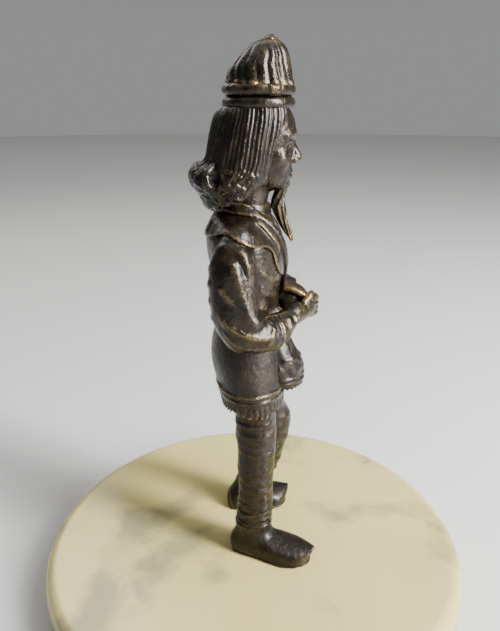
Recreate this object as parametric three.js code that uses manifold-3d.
// Bronze statuette of a standing bearded man in a ribbed cap and a long-sleeved coat, his hands
// clasped in front of him, on a round marble base. Millimetres, +Z up, the figure faces -Y.
// The figure is put together from separate castings on dowel pins, and two threaded studs
// hold it to the marble.

import * as THREE from 'three';
import { mergeVertices } from 'three/addons/utils/BufferGeometryUtils.js';
import Module from 'manifold-3d';

const wasm = await Module();
wasm.setup();

// ---------------------------------------------------------------- driving dimensions

const BASE_DIAMETER = 100;
const BASE_THICKNESS = 10;
const BASE_EDGE_RADIUS = 3;
const FELT_DIAMETER = 92;
const FELT_THICKNESS = 1;
const GLUE_LINE = 0.1;
const GAP = 0.3; // between every two pieces that fit together
const FIGURE_OFFSET = 3; // the figure stands a little to one side of the disc's middle
const FIGURE_BACK = 0.9; // and a little behind it

const HEM_UP = 38; // heights above the marble
const LEG_TOP_UP = 45;
const WAIST_UP = 54.7;
const ELBOW_UP = 58.2;
const SHOULDER_UP = 75;
const NECK_UP = 79.5;
const CHIN_UP = 84;
const BRIM_UP = 100.2;
const CROWN_UP = 104.9;
const FIGURE_TOP_UP = 113.7;

const FOOT_SPREAD = 8.7; // from the middle of the figure to each ankle
const HIP_SPREAD = 5.3;
const ANKLE_FORWARD = 0.85;
const ANKLE_UP = 8.6;
const CAP_FORWARD = 1.7;
const BEARD_HALF_WIDTH = 1.7;

const STUD_RADIUS = 1.5; // M3
const PIN_RADIUS = 1;
const NUT_ACROSS_FLATS = 5.5;
const NUT_THICKNESS = 2.4;
const WASHER_RADIUS = 3.5;
const WASHER_THICKNESS = 0.5;
const COUNTERBORE_RADIUS = 4.6;
const COUNTERBORE_DEPTH = 4.2;

const MARBLE_UP = FELT_THICKNESS + GLUE_LINE + BASE_THICKNESS;
const RIGHT = -1; // the figure's own sides, along X
const LEFT = 1;
// The weight is on the right leg. The left foot is set back, with its shin leaning to a bent knee,
// so its stud stops inside the shoe.
const stance = {
  [RIGHT]: { setback: 0, shinLean: 0, kneeForward: 1.5, turnOutDegrees: 19, footLength: 1, studTop: 14 },
  [LEFT]: { setback: 2.2, shinLean: 2.4, kneeForward: 6.0, turnOutDegrees: 12, footLength: 0.8, studTop: 7.6 },
};

const bronze = new THREE.MeshStandardMaterial({ color: 0x3a2c1c, roughness: 0.38, metalness: 1 });
const marble = new THREE.MeshStandardMaterial({ color: 0xe4dfc8, roughness: 0.25, metalness: 0 });
const felt = new THREE.MeshStandardMaterial({ color: 0x24332a, roughness: 0.95, metalness: 0 });
const steel = new THREE.MeshStandardMaterial({ color: 0x9a9a96, roughness: 0.35, metalness: 1 });

// ---------------------------------------------------------------- solids

// A point on the figure: to its left, forward of its middle, and above the marble.
const at = (left, forward, up) => new THREE.Vector3(left, -forward, up);

const SIDEWAYS = at(1, 0, 0);
const FORWARD = at(0, 1, 0);
const UP = at(0, 0, 1);

// The direction from a loft's first station to its last.
function heading(stations) {
  const [first, last] = [stations[0], stations[stations.length - 1]].map(([left, forward, up]) => (
    at(left, forward, up)));
  return last.sub(first).normalize();
}

function solid(geometry) {
  const bare = geometry.clone();
  bare.deleteAttribute('normal');
  bare.deleteAttribute('uv');
  const merged = mergeVertices(bare, 1e-5);
  return new wasm.Manifold(new wasm.Mesh({
    numProp: 3,
    vertProperties: Float32Array.from(merged.attributes.position.array),
    triVerts: Uint32Array.from(merged.index.array),
  }));
}

function geometryOf(body) {
  const mesh = body.getMesh();
  const geometry = new THREE.BufferGeometry();
  geometry.setAttribute('position', new THREE.BufferAttribute(mesh.vertProperties, 3));
  geometry.setIndex(new THREE.BufferAttribute(mesh.triVerts, 1));
  return geometry;
}

const join = (first, ...others) => others.reduce((body, other) => body.add(other), first);
const cut = (first, ...tools) => tools.reduce((body, tool) => body.subtract(tool), first);

// A closed body along a smooth spine through oval stations, each given as
// [left, forward, up, half width, half depth]. The ovals are parallel: they face `facing`, and
// their half width lies along `across`.
function loft(stations, options = {}) {
  const { grow = 0, around = 16, steps = 2, facing = UP, across = SIDEWAYS, ribs = 0, ribDepth = 0 } = options;
  const spine = new THREE.CatmullRomCurve3(stations.map(([left, forward, up]) => at(left, forward, up)));
  const sizes = new THREE.CatmullRomCurve3(
    stations.map(([, , , width, depth]) => new THREE.Vector3(width + grow, depth + grow, 0)),
  );
  const widthways = across.clone().addScaledVector(facing, -across.dot(facing)).normalize();
  const depthways = new THREE.Vector3().crossVectors(widthways, facing);
  const geometry = new THREE.CylinderGeometry(1, 1, 1, around, (stations.length - 1) * steps);
  const position = geometry.attributes.position;
  const unit = new THREE.Vector3();
  for (let i = 0; i < position.count; i++) {
    unit.fromBufferAttribute(position, i);
    const along = unit.y + 0.5;
    const endGrowth = grow * ((along === 1) - (along === 0));
    const size = sizes.getPoint(along);
    const rib = 1 + ribDepth * Math.cos(ribs * Math.atan2(unit.z, unit.x));
    const point = spine.getPoint(along)
      .addScaledVector(widthways, unit.x * size.x * rib)
      .addScaledVector(depthways, unit.z * size.y * rib)
      .addScaledVector(facing, endGrowth);
    position.setXYZ(i, point.x, point.y, point.z);
  }
  return solid(geometry);
}

// A round rod between two points.
function rod(from, to, radius, around = 12) {
  const length = from.distanceTo(to);
  const geometry = new THREE.CylinderGeometry(radius, radius, length, around);
  const turn = new THREE.Quaternion().setFromUnitVectors(
    new THREE.Vector3(0, 1, 0), to.clone().sub(from).normalize(),
  );
  geometry.applyQuaternion(turn);
  const middle = from.clone().lerp(to, 0.5);
  geometry.translate(middle.x, middle.y, middle.z);
  return solid(geometry);
}

// A round body turned about a vertical axis, from an outline of [radius, up] points.
function turned(outline, around, forward = 0) {
  const points = outline.map(([radius, up]) => new THREE.Vector2(radius, up));
  const geometry = new THREE.LatheGeometry(points, around);
  geometry.rotateX(Math.PI / 2);
  geometry.translate(0, -forward, 0);
  return solid(geometry);
}

// A block between two corners, each [left, forward, up].
function block(low, high) {
  const size = high.map((value, i) => value - low[i]);
  const geometry = new THREE.BoxGeometry(...size);
  const middle = at(...high.map((value, i) => (value + low[i]) / 2));
  geometry.translate(middle.x, middle.y, middle.z);
  return solid(geometry);
}

// A round cord of one radius laid along a smooth route.
function cordAlong(route, radius) {
  const section = new THREE.Shape();
  section.absarc(0, 0, radius, 0, Math.PI * 2);
  return solid(new THREE.ExtrudeGeometry(section, {
    steps: 12, curveSegments: 5, extrudePath: new THREE.CatmullRomCurve3(route), bevelEnabled: false,
  }));
}

// ---------------------------------------------------------------- base and its fixings

const ankle = (side) => ({ left: side * FOOT_SPREAD, forward: ANKLE_FORWARD - stance[side].setback });

// The stud stands midway between the ankle and the foot of the leaning shin.
function stud(side) {
  const { left, forward } = ankle(side);
  return { left, forward: forward + stance[side].shinLean / 2 };
}

function studHole(side, radius, from, to) {
  const { left, forward } = stud(side);
  return rod(at(left, forward, from), at(left, forward, to), radius);
}

// The base is a disc with a rounded top edge and a small chamfer under it.
function marbleBase() {
  const radius = BASE_DIAMETER / 2;
  const underside = -BASE_THICKNESS;
  const chamfer = 0.8;
  const outline = [[0, underside], [radius - chamfer, underside], [radius, underside + chamfer]];
  const arcSteps = 5;
  for (let i = 0; i <= arcSteps; i++) {
    const angle = (Math.PI / 2) * (i / arcSteps);
    outline.push([
      radius - BASE_EDGE_RADIUS * (1 - Math.cos(angle)),
      -BASE_EDGE_RADIUS * (1 - Math.sin(angle)),
    ]);
  }
  outline.push([0, 0]);
  const disc = turned(outline, 56);
  const holes = [RIGHT, LEFT].flatMap((side) => [
    studHole(side, STUD_RADIUS + GAP, underside - 1, 1),
    studHole(side, COUNTERBORE_RADIUS, underside - 1, underside + COUNTERBORE_DEPTH),
  ]);
  holes.forEach((hole, i) => { holes[i] = hole.translate([FIGURE_OFFSET, FIGURE_BACK, 0]); });
  return cut(disc, ...holes);
}

function feltPad() {
  const radius = FELT_DIAMETER / 2;
  return turned([[0, 0], [radius, 0], [radius, FELT_THICKNESS], [0, FELT_THICKNESS]], 56);
}

const WASHER_UP = -BASE_THICKNESS + COUNTERBORE_DEPTH - WASHER_THICKNESS - GLUE_LINE;
const NUT_UP = WASHER_UP - NUT_THICKNESS - GLUE_LINE;

const footStud = (side) => studHole(side, STUD_RADIUS, NUT_UP - 0.5, stance[side].studTop);

function washer(side) {
  const disc = studHole(side, WASHER_RADIUS, WASHER_UP, WASHER_UP + WASHER_THICKNESS);
  return cut(disc, studHole(side, STUD_RADIUS + GAP, WASHER_UP - 1, WASHER_UP + 1));
}

function nut(side) {
  const { left, forward } = stud(side);
  const hexagonRadius = NUT_ACROSS_FLATS / 2 / Math.cos(Math.PI / 6);
  const body = rod(at(left, forward, NUT_UP), at(left, forward, NUT_UP + NUT_THICKNESS), hexagonRadius, 6);
  return cut(body, studHole(side, STUD_RADIUS + GAP / 2, NUT_UP - 1, NUT_UP + NUT_THICKNESS + 1));
}

// ---------------------------------------------------------------- shoes and legs

// A soft ankle boot with a flat sole, broad in front and drawn up to a point at the toe.
function shoe(side) {
  const { shinLean, turnOutDegrees, footLength, studTop } = stance[side];
  const foot = loft([
    [0, -5.7, 2.2, 1.1, 1.2],
    [0, -4.4, 2.4, 2.7, 2.6],
    [0, 0, 2.9, 3.5, 3.2],
    [0, 4, 2.7, 4.1, 2.9],
    [0, 8, 2.3, 4.5, 2.5],
    [0, 11, 1.9, 4.0, 2.0],
    [0, 13, 1.9, 2.7, 1.8],
    [0, 14.2, 2.6, 1.4, 1.1],
    [0, 14.9, 3.3, 0.4, 0.4],
  ].map(([left, forward, ...rest]) => [left, forward * footLength, ...rest]), { facing: FORWARD });
  const shaft = loft([
    [0, 0.1, 2, 3, 3.6],
    [0, 0.4 * shinLean, 5.4, 3.1, 3.6],
    [0, shinLean, ANKLE_UP, 3.8, 4.1],
  ]);
  const below = block([-10, -10, -5], [10, 20, GLUE_LINE]);
  const { left, forward } = ankle(side);
  const boot = cut(join(foot.rotate([0, 0, side * turnOutDegrees]), shaft), below);
  return cut(boot.translate([left, -forward, 0]), studHole(side, STUD_RADIUS + GAP, -1, studTop + GAP));
}

function legShape(side, grow = 0) {
  const { shinLean, kneeForward } = stance[side];
  const foot = ankle(side).forward + shinLean;
  const bend = kneeForward - foot;
  return loft([
    [side * FOOT_SPREAD, foot, ANKLE_UP + GAP, 3.4, 3.7],
    [side * 8.6, foot + 0.38 * bend, 12, 3.5, 3.8],
    [side * 8.3, foot + 0.76 * bend, 18, 3.8, 4.0],
    [side * 7.6, kneeForward, 26, 4.1, 4.4],
    [side * 6.9, 0.6 * kneeForward + 0.5, 31, 4.2, 4.6],
    [side * 6.2, 0.15 * kneeForward + 0.9, HEM_UP - 1, 4.2, 4.3],
    [side * HIP_SPREAD, 0.6, LEG_TOP_UP, 4.4, 4.8],
  ], { grow });
}

function hipPin(side, radius = PIN_RADIUS) {
  return rod(at(side * HIP_SPREAD, 0.6, HEM_UP + 1), at(side * HIP_SPREAD, 0.6, LEG_TOP_UP + 6), radius);
}

function leg(side) {
  return cut(
    legShape(side),
    studHole(side, STUD_RADIUS + GAP, 0, stance[side].studTop + GAP),
    hipPin(side, PIN_RADIUS + GAP),
  );
}

// ---------------------------------------------------------------- coat

function skirtShape(grow = 0) {
  return loft([
    [0, 0.5, HEM_UP, 11.7, 7.5],
    [0, 0.1, 42, 11.5, 7.9],
    [0, -0.7, 47, 11.1, 8.1],
    [0, -1.0, 51, 10.5, 7.7],
    [0, -0.8, WAIST_UP - GAP, 10, 6.9],
  ], { grow, around: 20 });
}

function waistPin(radius = STUD_RADIUS) {
  return rod(at(0, -0.8, LEG_TOP_UP + 3), at(0, -0.8, WAIST_UP + 8), radius);
}

function coatSkirt() {
  return cut(
    skirtShape(),
    legShape(RIGHT, GAP),
    legShape(LEFT, GAP),
    hipPin(RIGHT, PIN_RADIUS + GAP),
    hipPin(LEFT, PIN_RADIUS + GAP),
    waistPin(STUD_RADIUS + GAP),
  );
}

// The fringed border runs round the hem and hangs a little below it.
function hemBand(grow = 0) {
  const wall = 0.9;
  const ring = (extra, reach) => loft([
    [0, 0.6, HEM_UP - 1.8 - reach, 12.2 + extra, 7.9 + extra],
    [0, 0.5, HEM_UP + 1, 12.0 + extra, 7.95 + extra],
    [0, 0.1, HEM_UP + 4.4 + reach, 11.8 + extra, 8.3 + extra],
  ], { grow: reach ? 0 : grow, around: 20 });
  return grow ? ring(wall, 0) : cut(ring(wall, 0), ring(0, 0.5));
}

// The loose front of the coat swells forward below the hands.
function frontFlap() {
  const flap = loft([
    [0, 5.8, HEM_UP + 2.8, 6.2, 6.3],
    [0, 6.2, 43.5, 6.5, 6.3],
    [0, 6.3, 46, 6.4, 6.0],
    [0, 5.7, 48.5, 5.8, 4.9],
    [0, 5.0, 51.5, 5.0, 3.9],
    [0, 4.4, WAIST_UP, 4.2, 3.2],
  ], { around: 20 });
  return cut(flap, skirtShape(GAP), hemBand(GAP), legShape(RIGHT, GAP), legShape(LEFT, GAP), torsoShape(GAP));
}

const TORSO = [
  [0, -0.7, WAIST_UP, 9.7, 6.7],
  [0, -0.7, 60, 10, 7.0],
  [0, -0.7, 66, 10.7, 7.5],
  [0, -1.0, 70.5, 11.4, 8.0],
  [0, -1.5, SHOULDER_UP, 10.8, 7.6],
  [0, -1.5, 77.8, 7.8, 6.2],
  [0, -1.2, NECK_UP, 5.2, 5.0],
];

const torsoShape = (grow = 0) => loft(TORSO, { grow, around: 20 });

// A point lying `proud` of the torso's front.
function onChest(left, up, proud) {
  const upper = TORSO.findIndex((station) => station[2] > up);
  const [below, above] = [TORSO[upper - 1], TORSO[upper]];
  const share = (up - below[2]) / (above[2] - below[2]);
  const [, centre, , halfWidth, halfDepth] = below.map((value, i) => value + share * (above[i] - value));
  const forward = centre + halfDepth * Math.sqrt(1 - (left / halfWidth) ** 2);
  return at(left, forward + proud, up);
}

function neckPin(radius = PIN_RADIUS) {
  return rod(at(0, -0.8, NECK_UP - 8), at(0, -0.8, CHIN_UP + 5), radius);
}

function shoulderPin(side, radius = PIN_RADIUS) {
  return rod(at(side * 6.5, -2, SHOULDER_UP - 4.5), at(side * 14.5, -2, SHOULDER_UP - 4.5), radius);
}

function coatBody() {
  return cut(
    torsoShape(),
    headShape(GAP),
    waistPin(STUD_RADIUS + GAP),
    neckPin(PIN_RADIUS + GAP),
    shoulderPin(RIGHT, PIN_RADIUS + GAP),
    shoulderPin(LEFT, PIN_RADIUS + GAP),
  );
}

// A low collar stands round the neck.
function collarShape(grow = 0) {
  return loft([
    [0, -1.3, NECK_UP - 1.6, 6.9, 6.4],
    [0, -1.0, NECK_UP, 6.5, 6.3],
    [0, -0.7, NECK_UP + 1.8, 5.7, 6.0],
  ], { grow, around: 20 });
}

const collar = () => cut(collarShape(), torsoShape(GAP), headShape(GAP), beardShape(GAP));

// A short mantle lies over the shoulders and is open down the front.
function mantle() {
  const cape = loft([
    [0, -2.0, SHOULDER_UP - 0.5, 15.6, 9.0],
    [0, -2.0, SHOULDER_UP + 1.4, 14.2, 8.6],
    [0, -1.8, SHOULDER_UP + 3.2, 11.2, 7.8],
    [0, -1.5, NECK_UP + 0.8, 7.8, 7.0],
  ], { around: 24 });
  const opening = block([-5, 2, SHOULDER_UP - 5], [5, 20, NECK_UP + 5]);
  return cut(cape, opening, torsoShape(GAP), collarShape(GAP), headShape(GAP), sleeveShape(RIGHT, GAP),
    sleeveShape(LEFT, GAP), lapelShape(RIGHT, GAP), lapelShape(LEFT, GAP));
}

// The rolled edge of each side of the coat runs from the collar down the chest. The right one
// laps over the left and goes on to the waist, and the left one ends where it is covered.
function lapelShape(side, grow = 0) {
  const crossing = 70;
  const edge = [
    [side * 5.2, 77.6],
    [side * 4.6, 75.8],
    [side * 3.0, 72.8],
  ];
  const rest = side === RIGHT ? [[side * 1.0, crossing], [side * -1.6, 67.2], [side * -3.6, 65]]
    : [[side * 1.9, crossing + 1]];
  return cordAlong([...edge, ...rest].map(([left, up]) => onChest(left, up, 0.4)), 1.2 + grow);
}

function lapel(side) {
  const edge = cut(lapelShape(side), torsoShape(GAP), collarShape(GAP));
  return side === RIGHT ? edge : cut(edge, lapelShape(RIGHT, GAP));
}

// ---------------------------------------------------------------- arms and hands

const wristLift = (side) => (side === LEFT ? 2.8 : 0);

function sleeveShape(side, grow = 0) {
  const lift = wristLift(side);
  const upper = loft([
    [side * 12.8, 0.8, 54.2, 1.6, 2.2],
    [side * 13.0, -0.2, 56.4, 3.6, 4.6],
    [side * 13.2, -1.5, 60, 4.3, 5.8],
    [side * 13.0, -2.1, 65, 4.3, 6.1],
    [side * 12.6, -2.1, 70, 4.2, 6.1],
    [side * 11.4, -1.9, SHOULDER_UP - 0.2, 3.3, 4.8],
    [side * 10.4, -1.7, SHOULDER_UP + 1.5, 1.5, 2.2],
  ], { grow, steps: 1 });
  const forearm = [
    [side * 13.0, -2.0, ELBOW_UP, 3.6, 3.6],
    [side * 12.2, 2.4, ELBOW_UP + 0.2 * lift, 4.0, 4.3],
    [side * 9.6, 6.2 - 0.3 * lift, ELBOW_UP + 0.4 + 0.6 * lift, 3.6, 3.9],
    [side * 6.6, 8.7 - 0.4 * lift, ELBOW_UP + 1 + lift, 3.0, 3.1],
  ];
  return join(upper, loft(forearm, { grow, facing: heading(forearm) }));
}

function handShape(side, grow = 0) {
  const up = ELBOW_UP + 1.4 + wristLift(side) * 0.9;
  const reach = side === LEFT ? -2.7 : 0;
  const mitt = [
    [side * 8.2, 7.2 + 0.5 * reach, up - 0.3, 1.7, 1.6],
    [side * 5.0, 10.0 + 0.7 * reach, up, 2.0, 1.8],
    [side * 2.4, 12.0 + 0.9 * reach, up + 0.2, 2.4, 1.9],
    [side * -0.4, 13.0 + reach, up + 0.3, 2.4, 1.8],
    [side * -2.6, 12.4 + reach, up + 0.3, 1.8, 1.5],
    [side * -3.6, 11.6 + reach, up + 0.2, 0.8, 0.8],
  ];
  return loft(mitt, { grow, around: 14, facing: heading(mitt), across: UP });
}

function sleeve(side) {
  return cut(
    sleeveShape(side),
    torsoShape(GAP),
    skirtShape(GAP),
    handShape(side, GAP),
    lapelShape(RIGHT, GAP),
    shoulderPin(side, PIN_RADIUS + GAP),
  );
}

const rightHand = () => handShape(RIGHT);
const leftHand = () => cut(handShape(LEFT), handShape(RIGHT, GAP), lapelShape(RIGHT, GAP), torsoShape(GAP));

// ---------------------------------------------------------------- head

function headShape(grow = 0) {
  return loft([
    [0, -0.9, NECK_UP + GAP, 4.4, 4.6],
    [0, -0.2, 82.4, 4.5, 5.0],
    [0, 1.5, CHIN_UP + 0.8, 5.1, 6.0],
    [0, 2.1, 88, 6.1, 7.0],
    [0, 2.0, 92, 6.9, 7.5],
    [0, 1.8, 96, 7.2, 7.8],
    [0, CAP_FORWARD, BRIM_UP - GAP, 6.9, 7.2],
  ], { grow, around: 20 });
}

function capPin(radius = PIN_RADIUS) {
  return rod(at(0, CAP_FORWARD, BRIM_UP - 6), at(0, CAP_FORWARD, CROWN_UP + 3), radius);
}

const head = () => cut(headShape(), neckPin(PIN_RADIUS + GAP), capPin(PIN_RADIUS + GAP));

// Long straight hair hangs from under the cap and rolls outward at the nape.
function hair() {
  const mass = loft([
    [0, -2.8, NECK_UP + 1, 6.2, 6.6],
    [0, -3.4, 83, 8.2, 8.4],
    [0, -3.8, 86, 8.8, 8.8],
    [0, -3.4, 88.6, 8.9, 9.0],
    [0, -1.9, 91, 8.6, 8.2],
    [0, -0.4, 94, 8.4, 8.4],
    [0, 0.5, 97, 8.3, 8.6],
    [0, 0.8, BRIM_UP - GAP, 7.9, 8.0],
  ], { around: 20 });
  const lean = Math.atan2(3, 17);
  const face = block([-12, 0, -4], [12, 20, 30])
    .rotate([THREE.MathUtils.radToDeg(lean), 0, 0])
    .translate([0, -1.6, NECK_UP]);
  return cut(mass, headShape(GAP), face, torsoShape(GAP), collarShape(GAP), lapelShape(RIGHT, GAP),
    lapelShape(LEFT, GAP));
}

function beardShape(grow = 0) {
  return loft([
    [0, 8.9, 73.8, 0.4, 0.4],
    [0, 8.1, 76, 1.0, 0.8],
    [0, 7.3, 78.6, 1.4, 1.0],
    [0, 6.7, 81.4, BEARD_HALF_WIDTH, 1.3],
    [0, 6.9, CHIN_UP + 1.6, BEARD_HALF_WIDTH * 0.9, 1.4],
  ], { grow, around: 12 });
}

const beard = () => cut(beardShape(), headShape(GAP));

// ---------------------------------------------------------------- cap

// A flat cushion with a round rim and a bore for the pin.
function rimmedDisc(radius, low, high) {
  const rim = (high - low) / 2;
  const outline = [[PIN_RADIUS + GAP, low]];
  const arcSteps = 6;
  for (let i = 0; i <= arcSteps; i++) {
    const angle = Math.PI * (i / arcSteps - 0.5);
    outline.push([radius - rim + rim * Math.cos(angle), low + rim + rim * Math.sin(angle)]);
  }
  outline.push([PIN_RADIUS + GAP, high], [PIN_RADIUS + GAP, low]);
  return turned(outline, 32, CAP_FORWARD);
}

const capRoll = () => rimmedDisc(7.3, BRIM_UP, BRIM_UP + 2.5);
const capTwistBand = () => rimmedDisc(7.3, BRIM_UP + 2.7, CROWN_UP - 0.2);

const FINIAL_UP = FIGURE_TOP_UP - 0.7;
const FINIAL_FORWARD = 3.9;

function finialShape(grow = 0) {
  const spigot = rod(at(0, FINIAL_FORWARD, FINIAL_UP - 2), at(0, FINIAL_FORWARD, FINIAL_UP), 0.5 + grow, 8);
  const knob = loft([
    [0, FINIAL_FORWARD, FINIAL_UP - 0.5, 0.9, 0.9],
    [0, FINIAL_FORWARD, FINIAL_UP, 1.3, 1.3],
    [0, FINIAL_FORWARD, FINIAL_UP + 0.4, 1.0, 1.0],
    [0, FINIAL_FORWARD, FIGURE_TOP_UP, 0.4, 0.4],
  ], { grow, around: 10 });
  return join(spigot, knob);
}

// The crown is a bullet-shaped dome of round ribs that leans forward to its knob.
function capCrown() {
  const dome = loft([
    [0, CAP_FORWARD, CROWN_UP, 6.7, 6.7],
    [0, 2.0, CROWN_UP + 2.4, 6.1, 6.1],
    [0, 2.5, CROWN_UP + 4.5, 5.2, 5.2],
    [0, 3.1, CROWN_UP + 6.2, 4.1, 4.1],
    [0, 3.6, CROWN_UP + 7.4, 2.7, 2.7],
    [0, 3.8, CROWN_UP + 8.0, 1.4, 1.4],
  ], { around: 48, ribs: 12, ribDepth: 0.04, steps: 1 });
  return cut(dome, capPin(PIN_RADIUS + GAP), finialShape(GAP));
}

// ---------------------------------------------------------------- assembly

const statuette = new THREE.Group();
const figure = new THREE.Group();
figure.position.set(FIGURE_OFFSET, FIGURE_BACK, MARBLE_UP);
statuette.add(figure);

function place(group, name, body, material) {
  const mesh = new THREE.Mesh(geometryOf(body), material.clone());
  mesh.name = name;
  group.add(mesh);
  return mesh;
}

place(statuette, 'felt_pad', feltPad(), felt);
place(statuette, 'marble_base', marbleBase(), marble).position.z = MARBLE_UP;

for (const [sideName, side] of [['right', RIGHT], ['left', LEFT]]) {
  place(figure, `${sideName}_foot_stud`, footStud(side), steel);
  place(figure, `${sideName}_washer`, washer(side), steel);
  place(figure, `${sideName}_nut`, nut(side), steel);
  place(figure, `${sideName}_shoe`, shoe(side), bronze);
  place(figure, `${sideName}_leg`, leg(side), bronze);
  place(figure, `${sideName}_hip_pin`, hipPin(side), steel);
  place(figure, `${sideName}_lapel`, lapel(side), bronze);
  place(figure, `${sideName}_sleeve`, sleeve(side), bronze);
  place(figure, `${sideName}_shoulder_pin`, shoulderPin(side), steel);
}

place(figure, 'coat_skirt', coatSkirt(), bronze);
place(figure, 'hem_band', hemBand(), bronze);
place(figure, 'front_flap', frontFlap(), bronze);
place(figure, 'waist_pin', waistPin(), steel);
place(figure, 'coat_body', coatBody(), bronze);
place(figure, 'collar', collar(), bronze);
place(figure, 'mantle', mantle(), bronze);
place(figure, 'right_hand', rightHand(), bronze);
place(figure, 'left_hand', leftHand(), bronze);
place(figure, 'neck_pin', neckPin(), steel);
place(figure, 'head', head(), bronze);
place(figure, 'hair', hair(), bronze);
place(figure, 'beard', beard(), bronze);
place(figure, 'cap_roll', capRoll(), bronze);
place(figure, 'cap_twist_band', capTwistBand(), bronze);
place(figure, 'cap_crown', capCrown(), bronze);
place(figure, 'cap_finial', finialShape(), bronze);
place(figure, 'cap_pin', capPin(), steel);

export default statuette;
